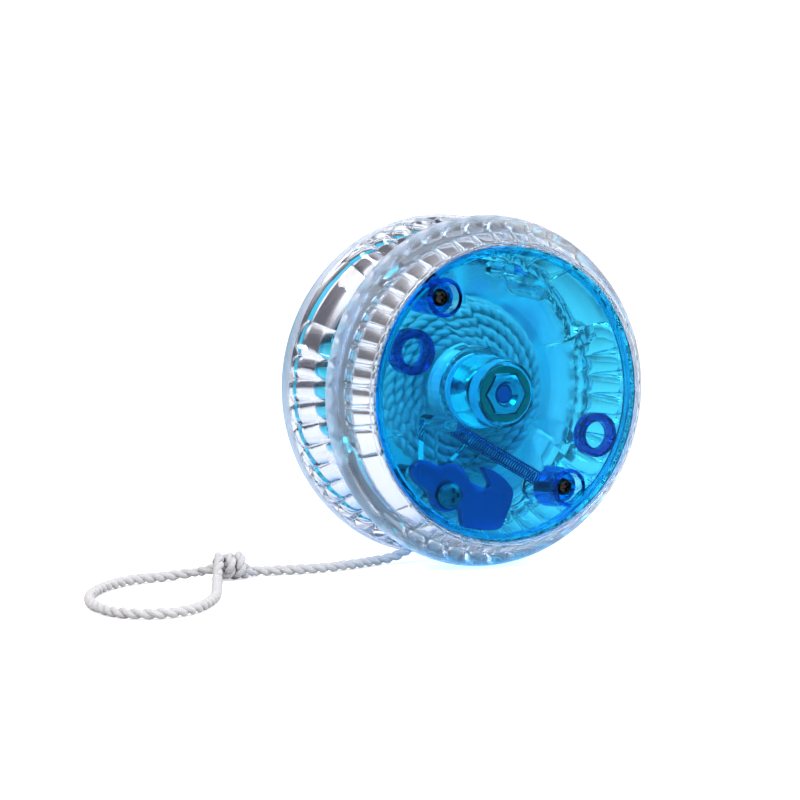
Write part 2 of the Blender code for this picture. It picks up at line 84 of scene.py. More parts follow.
# Clutch and fasteners
ARM_LOW, ARM_HIGH, PLATE_LOW, PLATE_HIGH = 3.6, 5.1, 8.6, 10.2
COLLAR_R, COLLAR_GAP = 2.4, 0.3
PAD_RISER, PAD_RISER_R, PAD_BAR_HALF = (-12.0, -12.4), 1.35, 1.4
HORN, HORN_R, HORN_TOP = (-7.8, -4.75), 1.2, 10.8
SHOE_ANGLES, SHOE_FACE, SHOE_OUT = (-105.0, -60.0), 5.9, 7.7
SHOE_ROOT, SHOE_BAR_HALF = (0.9, -8.2), 1.25
ARM_BORE_R, FLYWEIGHT_BORE_R, BORE_TOP = PIVOT_POST_R + 0.1, PIVOT_POST_R + 0.15, 20.0
FLYWEIGHT_ROUNDING = 0.12
WINDOW_SLOT = (-120.0, -38.0)
FLYWEIGHT_OUTLINE = (
    (-13.9, -11.5), (-13.6, -10.8), (-12.9, -10.3), (-12.0, -10.1), (-11.0, -10.4), (-10.1, -10.9),
    (-9.1, -11.1), (-8.2, -10.8), (-7.2, -10.8), (-6.1, -11.2), (-5.1, -12.0), (-4.4, -12.9),
    (-4.0, -13.8), (-3.2, -14.3), (-2.3, -14.7), (-1.3, -15.1), (-0.5, -14.9), (-0.4, -14.2),
    (-1.0, -13.2), (-1.6, -11.7), (0.1, -12.3), (2.0, -13.6), (3.1, -14.8), (3.7, -16.0),
    (3.3, -17.8), (2.4, -19.8), (1.3, -21.6), (-1.0, -21.7), (-3.1, -21.4), (-5.0, -20.8),
    (-5.5, -18.4), (-6.4, -17.9), (-7.4, -18.35), (-8.6, -18.35), (-9.8, -17.7), (-10.5, -16.6),
    (-10.7, -15.4), (-11.6, -14.6), (-12.8, -13.8), (-13.7, -12.6),
)
SPRING_START, SPRING_END, SPRING_DEPTH = (-6.5, -5.5), (8.5, -14.1), 9.4
SPRING_R, WIRE_R, SPRING_TURNS, SPRING_KEEP = 1.08, 0.11, 37, 0.94
NUT_FLATS, NUT_LOW, NUT_HIGH = 6.0, 11.7, 14.4
THREAD_R, MOUTH_R, MOUTH_DEPTH = 1.65, 2.1, 0.5
# Head radius, shank radius, seat depth, head height and depth of the tip
CAP_SCREW = (1.4, 0.85, CAP_RECESS_FLOOR + 0.1, 1.1, 5.2)
PIVOT_SCREW = (2.05, 0.65, PIVOT_POST_TOP + 0.1, 1.0, 5.0)

# String
CORD_D = 1.7
STRANDS, STRAND_SHARE, STRAND_LAY, SLACK_EVERY = 2, 0.3, 3.8, 6
KNOT_CENTRE, KNOT_TURNS, KNOT_STEPS = (-42.6, -2.9, -26.2), 2.5, 20
KNOT_LONG, KNOT_WIDE, KNOT_TALL = 4.2, 1.8, 1.4
WINDING_FIRST_R, WINDING_LAST_R, WINDING_STEP, WINDING_SIDE = 6.85, 13.6, 1.55, 0.85
TAIL_ROUTE = (
    (3.0, 0.0, -15.4), (-2.0, 0.0, -19.8), (-6.2, 0.0, -23.4), (-9.4, 0.0, -25.8), (-12.6, -0.1, -27.2),
    (-16.6, -0.5, -27.6), (-21.0, -2.0, -27.6), (-26.0, -3.0, -27.6), (-31.0, -2.8, -27.6),
    (-35.5, -1.9, -27.6), (-38.6, -1.7, -27.5),
)
LOOP_ROUTE = (
    (-46.6, -6.6, -27.2), (-49.6, -13.5, -27.6), (-53.6, -22.0, -27.6), (-59.0, -28.6, -27.6),
    (-65.0, -30.9, -27.6), (-70.2, -27.6, -27.6), (-71.6, -20.5, -27.6), (-69.6, -12.6, -27.6),
    (-65.0, -5.6, -27.6), (-59.0, -1.0, -27.6), (-52.4, 0.2, -27.6), (-47.4, -0.9, -27.1),
)
FLOOR_Z = -28.5

# Camera: direction in degrees, distance and offset in millimetres, lens for a 36 mm sensor
CAMERA_AZIMUTH, CAMERA_ELEVATION, CAMERA_DISTANCE = -27.14, 4.87, 395.8
CAMERA_SIDE, CAMERA_RISE, CAMERA_LENS = -10.24, -2.03, 108.0

# Light round the object: height as a share from straight down (0) to straight up (1), and colour
STUDIO_BANDS = (
    (0.50, (0.85, 0.85, 0.92)), (0.60, (0.4, 0.42, 0.48)), (0.76, (1.5, 1.5, 1.5)),
    (0.83, (1.5, 1.5, 1.5)), (0.90, (0.3, 0.32, 0.38)), (1.0, (0.3, 0.32, 0.38)),
)
WALL_BANDS = (
    (0.49, (0.85, 0.85, 0.9)), (0.52, (0.06, 0.045, 0.045)), (0.66, (0.1, 0.08, 0.08)),
    (0.76, (0.35, 0.32, 0.32)), (0.84, (1.1, 1.1, 1.1)), (1.0, (0.7, 0.7, 0.75)),
)
WALL_HEADING, WALL_FADE = 150.0, (-0.2, 0.1)
KEY_POWER, FILL_POWER = 7.5, 3.0
BACKDROP = (1.3, 1.3, 1.3, 1.0)
FLOOR_GLOW, FLOOR_ALBEDO = 0.5, 0.65

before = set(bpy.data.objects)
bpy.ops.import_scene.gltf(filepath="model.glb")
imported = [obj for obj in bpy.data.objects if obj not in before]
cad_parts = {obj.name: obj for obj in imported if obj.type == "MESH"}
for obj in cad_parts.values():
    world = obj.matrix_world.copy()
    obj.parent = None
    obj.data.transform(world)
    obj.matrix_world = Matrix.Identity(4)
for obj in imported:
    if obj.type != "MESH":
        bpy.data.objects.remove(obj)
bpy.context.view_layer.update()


# ---------------------------------------------------------------- mesh tools

def add_mesh(name, vertices, faces, smooth_angle=35.0):
    """Object from millimetre vertices, normals out, smooth except across sharp edges."""
    mesh = bpy.data.meshes.new(name)
    mesh.from_pydata((np.asarray(vertices, float) * MM).tolist(), [], faces)
    obj = bpy.data.objects.new(name, mesh)
    bpy.context.scene.collection.objects.link(obj)
    face_out(obj)
    shade(obj, smooth_angle)
    return obj


def face_out(obj):
    """Turn every face of a closed mesh outwards."""
    shape = bmesh.new()
    shape.from_mesh(obj.data)
    bmesh.ops.recalc_face_normals(shape, faces=shape.faces)
    shape.to_mesh(obj.data)
    shape.free()


def shade(obj, angle):
    """Smooth shading, except across edges sharper than the angle."""
    obj.data.shade_smooth()
    obj.data.set_sharp_from_angle(angle=math.radians(angle))


def at_angle(radius, degrees):
    """Point of a circle about the origin."""
    angle = math.radians(degrees)
    return radius * math.cos(angle), radius * math.sin(angle)


def turned_points(profile, count, centre):
    """Copies of a (radius, depth) outline turned about a line along Y through centre."""
    points = []
    for column in range(count):
        for radius, depth in profile:
            x, z = at_angle(radius, 360.0 * column / count)
            points.append((centre[0] + x, -depth, centre[1] + z))
    return points


def grid_faces(columns, rows, closed=True):
    """Quads between neighbouring copies of an outline that is closed or open."""
    faces = []
    for column in range(columns):
        here = column * rows
        there = (column + 1) % columns * rows
        for row in range(rows if closed else rows - 1):
            below = (row + 1) % rows
            faces.append((here + row, here + below, there + below, there + row))
    return faces


def turned_solid(name, profile, count, centre=(0.0, 0.0)):
    """Revolve a closed (radius, depth) outline."""
    return add_mesh(name, turned_points(profile, count, centre), grid_faces(count, len(profile)))


def capped_turn(name, profile, count, centre=(0.0, 0.0)):
    """Revolve an open (radius, depth) line whose two ends are closed with flat discs."""
    rows = len(profile)
    faces = grid_faces(count, rows, closed=False)
    faces.append(tuple(column * rows for column in range(count)))
    faces.append(tuple(column * rows + rows - 1 for column in range(count)))
    return add_mesh(name, turned_points(profile, count, centre), faces)


def prism(name, outline, low, high):
    """Solid between two depths with a closed (x, z) outline."""
    count = len(outline)
    vertices = [(x, -low, z) for x, z in outline] + [(x, -high, z) for x, z in outline]
    faces = [tuple(range(count)), tuple(range(count, 2 * count))]
    for index in range(count):
        following = (index + 1) % count
        faces.append((index, index + count, following + count, following))
    return add_mesh(name, vertices, faces)


def ring(name, centre, outer, inner, low, high, count=48):
    return turned_solid(name, ((inner, low), (outer, low), (outer, high), (inner, high)), count, centre)


def disc(name, centre, radius, low, high, count=48):
    return capped_turn(name, ((radius, low), (radius, high)), count, centre)


def apply_modifiers(obj):
    graph = bpy.context.evaluated_depsgraph_get()
    result = bpy.data.meshes.new_from_object(obj.evaluated_get(graph))
    obj.modifiers.clear()
    obj.data = result


def combine(target, tools, operation):
    """Join, cut or intersect a mesh with closed tools, and drop the tools."""
    for tool in tools:
        change = target.modifiers.new("combine", "BOOLEAN")
        change.operation = operation
        change.solver = "MANIFOLD"
        change.object = tool
    apply_modifiers(target)
    for tool in tools:
        bpy.data.objects.remove(tool, do_unlink=True)
    shade(target, 35.0)
    return target


def round_edges(obj, width):
    """Round the sharp edges of a finished mesh."""
    change = obj.modifiers.new("bevel", "BEVEL")
    change.width = width * MM
    change.segments = 2
    change.limit_method = "ANGLE"
    change.angle_limit = math.radians(40.0)
    change.use_clamp_overlap = True
    apply_modifiers(obj)
    shade(obj, 50.0)
    return obj


def smooth_line(points, steps, closed=False):
    """Catmull-Rom curve through points of any dimension."""
    points = np.asarray(points, float)
    if closed:
        padded = np.vstack((points[-1:], points, points[:2]))
    else:
        padded = np.vstack((2 * points[:1] - points[1:2], points, 2 * points[-1:] - points[-2:-1]))
    curve = []
    for index in range(1, len(padded) - 2):
        a, b, c, d = padded[index - 1:index + 3]
        for step in range(steps):
            t = step / steps
            curve.append(0.5 * (2 * b + (c - a) * t + (2 * a - 5 * b + 4 * c - d) * t ** 2
                                + (3 * b - a - 3 * c + d) * t ** 3))
    if not closed:
        curve.append(points[-1])
    return np.array(curve)


def bar_outline(start, end, half_width, steps=14):
    """Bar with round ends between two points."""
    direction = math.degrees(math.atan2(end[1] - start[1], end[0] - start[0]))
    points = []
    for centre, first in ((end, direction - 90.0), (start, direction + 90.0)):
        for step in range(steps + 1):
            x, z = at_angle(half_width, first + 180.0 * step / steps)
            points.append((centre[0] + x, centre[1] + z))
    return points


def sector_outline(inner, outer, first, last, steps=24):
    """Part of a ring between two angles."""
    angles = [first + (last - first) * step / steps for step in range(steps + 1)]
    back = [at_angle(outer, angle) for angle in angles]
    return back + [at_angle(inner, angle) for angle in reversed(angles)]


def shoe_outline(steps=12):
    """Round back and a flat rubbing face square to the radius through its middle."""
    first, last = SHOE_ANGLES
    back = [at_angle(SHOE_OUT, first + (last - first) * step / steps) for step in range(steps + 1)]
    half = 0.5 * (last - first)
    reach = SHOE_FACE / math.cos(math.radians(half))
    return back + [at_angle(reach, last), at_angle(reach, first)]


def dress(obj, *looks):
    """Give a mesh its looks; each face keeps its number, which picks its look."""
    numbers = [face.material_index for face in obj.data.polygons]
    obj.data.materials.clear()
    for look in looks:
        obj.data.materials.append(look)
    for face, number in zip(obj.data.polygons, numbers):
        face.material_index = number


def twins(point):
    """A point and its opposite about the axis."""
    return point, (-point[0], -point[1])


def place(obj, body, nodes, look, turned):
    """Finish a piece: turn it to its half, give it its look and its body, and hide the CAD nodes it stands
    for.
    """
    if turned:
        obj.data.transform(Matrix.Rotation(math.pi, 4, "X"))
    dress(obj, look)
    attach(obj, body)
    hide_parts(*nodes)
    return obj


# ---------------------------------------------------------------- materials

def new_look(name):
    """Material with its nodes, links and main shader."""
    look = bpy.data.materials.new(name)
    look.use_nodes = True
    nodes, links = look.node_tree.nodes, look.node_tree.links
    return look, nodes, links, nodes["Principled BSDF"]


def node(nodes, kind, **values):
    """Add a node; each value sets the input of that name, or else the node's own setting."""
    made = nodes.new(kind)
    for key, value in values.items():
        if key in made.inputs:
            made.inputs[key].default_value = value
        else:
            setattr(made, key, value)
    return made


def scratches(nodes, links, shader, scale, strength, stretch=(1.0, 1.0, 1.0)):
    """Fine surface grain as a bump on the shader."""
    coordinates = node(nodes, "ShaderNodeTexCoord")
    mapping = node(nodes, "ShaderNodeMapping", Scale=stretch)
    noise = node(nodes, "ShaderNodeTexNoise", Scale=scale, Detail=4.0)
    bump = node(nodes, "ShaderNodeBump", Strength=strength, Distance=0.0002)
    links.new(coordinates.outputs["Object"], mapping.inputs["Vector"])
    links.new(mapping.outputs["Vector"], noise.inputs["Vector"])
    links.new(noise.outputs["Fac"], bump.inputs["Height"])
    links.new(bump.outputs["Normal"], shader.inputs["Normal"])
    return noise


def let_light_through(nodes, links, shader, color):
    """Let lamps shine straight through a clear body, which glass alone would block."""
    path = node(nodes, "ShaderNodeLightPath")
    straight = node(nodes, "ShaderNodeBsdfTransparent", Color=color)
    mix = node(nodes, "ShaderNodeMixShader")
    links.new(path.outputs["Is Shadow Ray"], mix.inputs["Fac"])
    links.new(shader.outputs["BSDF"], mix.inputs[1])
    links.new(straight.outputs["BSDF"], mix.inputs[2])
    links.new(mix.outputs["Shader"], nodes["Material Output"].inputs["Surface"])


def clear_look(name, roughness, grain, clearness=1.0):
    """Clear styrene with a faint cold tint: polished, satin or milky."""
    look, nodes, links, shader = new_look(name)
    shader.inputs["Base Color"].default_value = (0.92, 0.93, 0.97, 1.0)
    shader.inputs["Transmission Weight"].default_value = clearness
    shader.inputs["IOR"].default_value = 1.5
    shader.inputs["Roughness"].default_value = roughness
    scratches(nodes, links, shader, 90.0, grain)
    let_light_through(nodes, links, shader, (0.96, 0.965, 1.0, 1.0))
    return look


def frosted_look():
    """Etched face of the clear half: coarse at the widest circle, finer towards the cap."""
    look, nodes, links, shader = new_look("frosted_plastic")
    shader.inputs["Base Color"].default_value = (0.82, 0.88, 0.98, 1.0)
    shader.inputs["Transmission Weight"].default_value = FROST_CLEARNESS
    shader.inputs["IOR"].default_value = 1.5
    scratches(nodes, links, shader, 90.0, 0.08)
    coordinates = node(nodes, "ShaderNodeTexCoord")
    split = node(nodes, "ShaderNodeSeparateXYZ")
    depth = node(nodes, "ShaderNodeMath", operation="ABSOLUTE")
    ramp = node(nodes, "ShaderNodeMapRange")
    ramp.inputs["From Min"].default_value = FROST_SPAN[0] * MM
    ramp.inputs["From Max"].default_value = FROST_SPAN[1] * MM
    ramp.inputs["To Min"].default_value = FROST_COARSE
    ramp.inputs["To Max"].default_value = FROST_FINE
    links.new(coordinates.outputs["Object"], split.inputs["Vector"])
    links.new(split.outputs["Y"], depth.inputs[0])
    links.new(depth.outputs["Value"], ramp.inputs["Value"])
    links.new(ramp.outputs["Result"], shader.inputs["Roughness"])
    let_light_through(nodes, links, shader, (0.9, 0.92, 0.97, 1.0))
    return look


def blue_look(name, dye_color, density, gloss):
    """Blue dye in clear plastic: the deeper the light goes, the bluer it gets."""
    look, nodes, links, shader = new_look(name)
    shader.inputs["Base Color"].default_value = (0.95, 0.99, 1.0, 1.0)
    shader.inputs["Transmission Weight"].default_value = 1.0
    shader.inputs["IOR"].default_value = 1.49
    shader.inputs["Specular Tint"].default_value = gloss
    shader.inputs["Roughness"].default_value = 0.02
    dye = node(nodes, "ShaderNodeVolumeAbsorption", Color=dye_color, Density=density)
    links.new(dye.outputs["Volume"], nodes["Material Output"].inputs["Volume"])
    scratches(nodes, links, shader, 60.0, 0.03)
    let_light_through(nodes, links, shader, (0.97, 0.98, 1.0, 1.0))
    return look


def steel_look(name, color, roughness):
    """Metal with fine grain that also varies its gloss."""
    look, nodes, links, shader = new_look(name)
    shader.inputs["Base Color"].default_value = (*color, 1.0)
    shader.inputs["Metallic"].default_value = 1.0
    noise = scratches(nodes, links, shader, 900.0, 0.15, (1.0, 1.0, 0.15))
    ramp = node(nodes, "ShaderNodeMapRange")
    ramp.inputs["To Min"].default_value = roughness * 0.7
    ramp.inputs["To Max"].default_value = roughness * 1.4
    links.new(noise.outputs["Fac"], ramp.inputs["Value"])
    links.new(ramp.outputs["Result"], shader.inputs["Roughness"])
    return look


def plastic_look(name, color, roughness):
    """Plain moulded plastic."""
    look, nodes, links, shader = new_look(name)
    shader.inputs["Base Color"].default_value = (*color, 1.0)
    shader.inputs["Roughness"].default_value = roughness
    scratches(nodes, links, shader, 400.0, 0.1)
    return look


def string_look():
    """White cotton: soft fibres with a little sheen, and slight painted shade in the hollows of their
    grain.
    """
    look, nodes, links, shader = new_look("cotton_string")
    noise = scratches(nodes, links, shader, 2600.0, 0.6)
    # Painted shade: the noise that raises the grain also darkens the colour where the grain sinks.
    ramp = node(nodes, "ShaderNodeValToRGB")
    ramp.color_ramp.elements[0].color = (0.34, 0.335, 0.34, 1.0)
    ramp.color_ramp.elements[1].color = (0.5, 0.49, 0.495, 1.0)
    links.new(noise.outputs["Fac"], ramp.inputs["Fac"])
    links.new(ramp.outputs["Color"], shader.inputs["Base Color"])
    shader.inputs["Roughness"].default_value = 0.95
    shader.inputs["Sheen Weight"].default_value = 0.3
    return look


# ---------------------------------------------------------------- half moulding

def flute_spans():
    """Start and width, in degrees, of every scallop round the flare."""
    pitch = 360.0 / FLUTES_PER_TURN
    spans = []
    for start in (WINDOW_ANGLE, WINDOW_ANGLE + 180.0):
        angle = start + 1.5 * pitch
        for width in [1.5] + [1.0] * REGULAR_FLUTES + [1.5]:
            spans.append((angle, width * pitch))
            angle += width * pitch
    return spans


def flute_columns():
    """Angles round the dish with the place of each across its scallop, from -1 to 1, or None."""
    pitch = 360.0 / FLUTES_PER_TURN
    columns = []
    spans = flute_spans()
    for index, (start, width) in enumerate(spans):
        if index % (REGULAR_FLUTES + 2) == 0:
            window = start - 3.0 * pitch
            columns += [(window + 3.0 * pitch * step / 24, None) for step in range(24)]
        columns += [(start + width * step / FLUTE_STEPS, 2.0 * step / FLUTE_STEPS - 1.0)
                    for step in range(FLUTE_STEPS)]
    return columns


def flute_depth(radius, across):
    """How far a scallop is sunk: sharp ridges, a round hollow and a D-shaped outer end."""
    if across is None or radius <= FLUTE_START:
        return 0.0
    hollow = math.sqrt(max(0.0, 1.0 - across * across))
    end = FLUTE_END - FLUTE_ROUNDING * (1.0 - hollow)
    if radius >= end:
        return 0.0
    rise = min(1.0, (radius - FLUTE_START) / FLUTE_RISE)
    wall = min(1.0, (end - radius) / FLUTE_WALL)
    return FLUTE_DEPTH * hollow * rise * wall


def dish_profile():
    """(radius, depth, takes scallops) round a half's section, from the pocket to the tower."""
    plain = [*smooth_line(SHOULDER_CURVE, 6)[1:], *smooth_line(LIP_CURVE, 2)[1:], *SEAT_RUN,
             *smooth_line(FLOOR_CURVE, 4), *HUB_RUN]
    section = [(radius, depth, False) for radius, depth in POCKET_RUN]
    section += [(radius, depth, True) for radius, depth in smooth_line(FLARE_CURVE, 9)]
    return section + [(radius, depth, False) for radius, depth in plain]


def dish(name):
    """The bare half: its section turned about the axis, with the scallops sunk into the flare."""
    section, columns = dish_profile(), flute_columns()
    points = []
    for degrees, across in columns:
        for radius, depth, scalloped in section:
            sunk = flute_depth(radius, across) if scalloped else 0.0
            x, z = at_angle(radius, degrees)
            points.append((x, -(depth + sunk), z))
    return add_mesh(name, points, grid_faces(len(columns), len(section)))


def half_shell(name):
    """The dish with its posts, pegs and ribs, and the slot through which the shoe meets the drum."""
    shell = dish(name)
    root = WALL_IN - OVERLAP
    parts = []
    for point in twins(SCREW_POST):
        parts.append(ring("post", point, SCREW_POST_R, SCREW_HOLE_R, root, SCREW_POST_TOP))
    for point in twins(PIVOT):
        parts.append(ring("post", point, PIVOT_POST_R, PIVOT_HOLE_R, root, PIVOT_POST_TOP))
    for point in twins(PEG):
        parts.append(disc("peg", point, PEG_R, root, PEG_TOP))
    for sign in (1.0, -1.0):
        outline = smooth_line([(sign * x, sign * z) for x, z in RIB_OUTLINE], 4, closed=True)
        parts.append(prism("rib", outline, root, RIB_TOP))
    combine(shell, parts, "UNION")
    slot = prism("slot", sector_outline(POCKET_R - 0.6, BOSS_R + 1.0, *WINDOW_SLOT), WALL_IN, POCKET_TOP)
    return combine(shell, [slot], "DIFFERENCE")


def frost(shell, looks):
    """Frost the outer shoulder, and roughen the string-side wall: finely where the string rubs it."""
    for face in shell.data.polygons:
        radius, depth = math.hypot(face.center.x, face.center.z) / MM, abs(face.center.y) / MM
        faces_cap = face.center.y * face.normal.y > 0.0
        shoulder = radius > LIP_R or (radius > FROST_R and depth > FROST_DEPTH and faces_cap)
        wall = radius > POCKET_R and depth < WALL_OUT + 0.05
        if shoulder:
            face.material_index = 1
        elif wall:
            face.material_index = 2 if radius < RUBBED_R else 3
    dress(shell, looks["clear"], looks["frosted"], looks["satin"], looks["milky"])


def cap(name):
    """Blue cap: a disc with a skirt, and a recessed boss over each screw post."""
    profile = ((0.5, CAP_UNDER), (SKIRT_IN, CAP_UNDER), (SKIRT_IN, SKIRT_END), (SKIRT_OUT, SKIRT_END),
               (SKIRT_OUT, CAP_SEAT), (CAP_R, CAP_SEAT), (CAP_R, CAP_TOP - 0.3),
               (CAP_R - 0.1, CAP_TOP - 0.08), (CAP_R - 0.3, CAP_TOP), (0.5, CAP_TOP))
    body = turned_solid(name, profile, 160)
    parts = [disc("centre", (0.0, 0.0), 1.2, CAP_UNDER, CAP_TOP)]
    cuts = []
    for point in twins(SCREW_POST):
        parts.append(disc("boss", point, CAP_BOSS_R, CAP_BOSS_END, CAP_UNDER + 0.6))
        cuts.append(disc("hole", point, SCREW_HOLE_R, CAP_BOSS_END - 1.0, CAP_TOP))
        cuts.append(disc("recess", point, CAP_RECESS_R, CAP_RECESS_FLOOR, CAP_TOP + 1.0))
    combine(body, parts, "UNION")
    return combine(body, cuts, "DIFFERENCE")


def cap_ring(name, centre):
    """Short ring under the cap, with eased edges."""
    top = CAP_UNDER - 0.02
    profile = ((TUBE_IN, TUBE_END + 0.15), (TUBE_IN + 0.15, TUBE_END), (TUBE_OUT - 0.15, TUBE_END),
               (TUBE_OUT, TUBE_END + 0.15), (TUBE_OUT, top), (TUBE_IN, top))
    return turned_solid(name, profile, 64, centre)


# ---------------------------------------------------------------- clutch and fasteners

def brake_arm(name):
    """Collar on the pivot post, with bars out to the spring horn, the shoe and the flyweight's riser."""
    collar_top = PLATE_LOW - COLLAR_GAP
    arm = disc(name, PIVOT, COLLAR_R, ARM_LOW, collar_top)
    combine(arm, [
        prism("bar", bar_outline(PIVOT, HORN, HORN_R), ARM_LOW, ARM_HIGH),
        prism("bar", bar_outline(PIVOT, SHOE_ROOT, SHOE_BAR_HALF), ARM_LOW, ARM_HIGH),
        prism("bar", bar_outline(PIVOT, PAD_RISER, PAD_BAR_HALF), ARM_LOW, ARM_HIGH),
        disc("horn", HORN, HORN_R, ARM_LOW, HORN_TOP),
        disc("riser", PAD_RISER, PAD_RISER_R, ARM_LOW, collar_top),
        prism("shoe", shoe_outline(), ARM_LOW, ARM_HIGH),
    ], "UNION")
    return combine(arm, [disc("bore", PIVOT, ARM_BORE_R, 0.0, BORE_TOP)], "DIFFERENCE")


def flyweight(name):
    """Steel plate with two lobes, a paddle and a crescent finger."""
    outline = smooth_line(FLYWEIGHT_OUTLINE, 3, closed=True)
    plate = prism(name, outline, PLATE_LOW, PLATE_HIGH)
    combine(plate, [disc("bore", PIVOT, FLYWEIGHT_BORE_R, 0.0, BORE_TOP)], "DIFFERENCE")
    return round_edges(plate, FLYWEIGHT_ROUNDING)


def screw(name, centre, head_r, shank_r, seat, head_height, tip):
    """Ridged shank with a domed head and a cross recess."""
    top = seat + head_height
    profile = [(0.05, tip), (shank_r * 0.6, tip + 0.5)]
    depth = tip + 0.7
    while depth < seat - 0.3:
        profile += [(shank_r, depth), (shank_r * 0.8, depth + 0.2)]
        depth += 0.4
    profile += [(shank_r, seat), (head_r, seat), (head_r, seat + 0.25 * head_height),
                (0.93 * head_r, seat + 0.6 * head_height), (0.7 * head_r, seat + 0.9 * head_height),
                (0.3 * head_r, top)]
    body = capped_turn(name, profile, 40, centre)
    crosses = []
    for width, height in ((0.55 * head_r, 0.17 * head_r), (0.17 * head_r, 0.55 * head_r)):
        corners = [(centre[0] + sx * width, centre[1] + sz * height) for sx, sz in
                   ((-1, -1), (1, -1), (1, 1), (-1, 1))]
        crosses.append(prism("cross", corners, top - 0.6 * head_height, top + 0.5))
    return combine(body, crosses, "DIFFERENCE")


def nut(name):
    """Hexagon with rounded corners and a threaded hole that widens at its mouths."""
    corner = NUT_FLATS / math.sqrt(3.0)
    body = prism(name, [at_angle(corner, 60.0 * step) for step in range(6)], NUT_LOW, NUT_HIGH)
    chamfer = capped_turn("chamfer", ((corner - 0.3, NUT_LOW), (corner + 0.05, NUT_LOW + 0.3),
                                      (corner + 0.05, NUT_HIGH - 0.3), (corner - 0.4, NUT_HIGH)), 72)
    combine(body, [chamfer], "INTERSECT")
    profile = [(MOUTH_R + 0.1, NUT_LOW - 0.1), (THREAD_R, NUT_LOW + MOUTH_DEPTH)]
    depth = NUT_LOW + MOUTH_DEPTH + 0.1
    while depth < NUT_HIGH - MOUTH_DEPTH - 0.1:
        profile += [(THREAD_R - 0.1, depth), (THREAD_R + 0.08, depth + 0.12)]
        depth += 0.24
    profile += [(THREAD_R, NUT_HIGH - MOUTH_DEPTH), (MOUTH_R + 0.1, NUT_HIGH + 0.1)]
    return combine(body, [capped_turn("thread", profile, 48)], "DIFFERENCE")


def sweep(path, radius, sides, taper=1):
    """Tube along a dense path, with an untwisted frame and closed ends."""
    path = np.asarray(path, float)
    ahead = np.gradient(path, axis=0)
    ahead /= np.linalg.norm(ahead, axis=1)[:, None]
    side = np.cross(ahead[0], (0.0, 0.0, 1.0) if abs(ahead[0][2]) < 0.9 else (1.0, 0.0, 0.0))
    vertices, count = [], len(path)
    angles = np.linspace(0.0, 2.0 * math.pi, sides, endpoint=False)
    for index in range(count):
        side = side - ahead[index] * side.dot(ahead[index])
        side /= np.linalg.norm(side)
        other = np.cross(ahead[index], side)
        shrink = min(1.0, 0.55 + 0.45 * min(index, count - 1 - index) / taper)
        spokes = np.cos(angles)[:, None] * side + np.sin(angles)[:, None] * other
        vertices.append(path[index] + radius * shrink * spokes)
    faces = []
    for index in range(count - 1):
        for step in range(sides):
            following = (step + 1) % sides
            faces.append((index * sides + step, index * sides + following,
                          (index + 1) * sides + following, (index + 1) * sides + step))
    faces.append(tuple(range(sides - 1, -1, -1)))
    faces.append(tuple(range((count - 1) * sides, count * sides)))
    return np.vstack(vertices), faces


def spring(name):
    """Close-wound spring from beside the arm's horn to just short of the cap boss."""
    start = np.array((SPRING_START[0], -SPRING_DEPTH, SPRING_START[1]))
    end = np.array((SPRING_END[0], -SPRING_DEPTH, SPRING_END[1]))
    length = np.linalg.norm(end - start)
    axis = (end - start) / length
    across = np.array((0.0, 1.0, 0.0))
    upward = np.cross(axis, across)
    per_turn, path = 18, []
    for step in range(SPRING_TURNS * per_turn + 1):
        angle = 2.0 * math.pi * step / per_turn
        along = WIRE_R + (length - 2.0 * WIRE_R) * step / (SPRING_TURNS * per_turn)
        path.append(start + axis * along + SPRING_R * (math.cos(angle) * across + math.sin(angle) * upward))
    vertices, faces = sweep(path, WIRE_R, 7)
    return add_mesh(name, vertices, faces, 60.0)


# ---------------------------------------------------------------- string

def resample(path, step):
    """Points an even step apart along a path."""
    path = np.asarray(path, float)
    lengths = np.concatenate(([0.0], np.cumsum(np.linalg.norm(np.diff(path, axis=0), axis=1))))
    wanted = np.linspace(0.0, lengths[-1], max(2, int(round(lengths[-1] / step)) + 1))
    return np.stack([np.interp(wanted, lengths, path[:, axis]) for axis in range(3)], axis=1)


def cross_frames(line):
    """Two directions square to a line at each of its points, turning as little as they can."""
    ahead = np.gradient(line, axis=0)
    ahead /= np.linalg.norm(ahead, axis=1)[:, None]
    side = np.cross(ahead[0], (0.0, 1.0, 0.0) if abs(ahead[0][1]) < 0.9 else (1.0, 0.0, 0.0))
    frames = []
    for direction in ahead:
        side = side - direction * side.dot(direction)
        side /= np.linalg.norm(side)
        frames.append((side, np.cross(direction, side)))
    return frames


def twisted(name, paths, step=0.28, sides=8, looseness=0.12):
    """String of strands laid round each other along each path, as one mesh."""
    strand_r = STRAND_SHARE * CORD_D
    offset = 0.5 * CORD_D - strand_r
    random = np.random.default_rng(7)
    vertices, faces, base = [], [], 0
    for path in paths:
        line = resample(path, step)
        frames = cross_frames(line)
        knots = np.arange(0, len(line) + SLACK_EVERY, SLACK_EVERY)
        for strand in range(STRANDS):
            slack = np.interp(np.arange(len(line)), knots, random.normal(0.0, looseness, len(knots)))
            points = []
            for index, centre in enumerate(line):
                angle = 2.0 * math.pi * (index * step / STRAND_LAY + strand / STRANDS)
                out = math.cos(angle) * frames[index][0] + math.sin(angle) * frames[index][1]
                points.append(centre + out * offset * (1.0 - abs(slack[index])))
            new_vertices, new_faces = sweep(points, strand_r, sides, taper=2)
            vertices.append(new_vertices)
            faces += [tuple(corner + base for corner in face) for face in new_faces]
            base += len(new_vertices)
    return add_mesh(name, np.vstack(vertices), faces, 80.0)


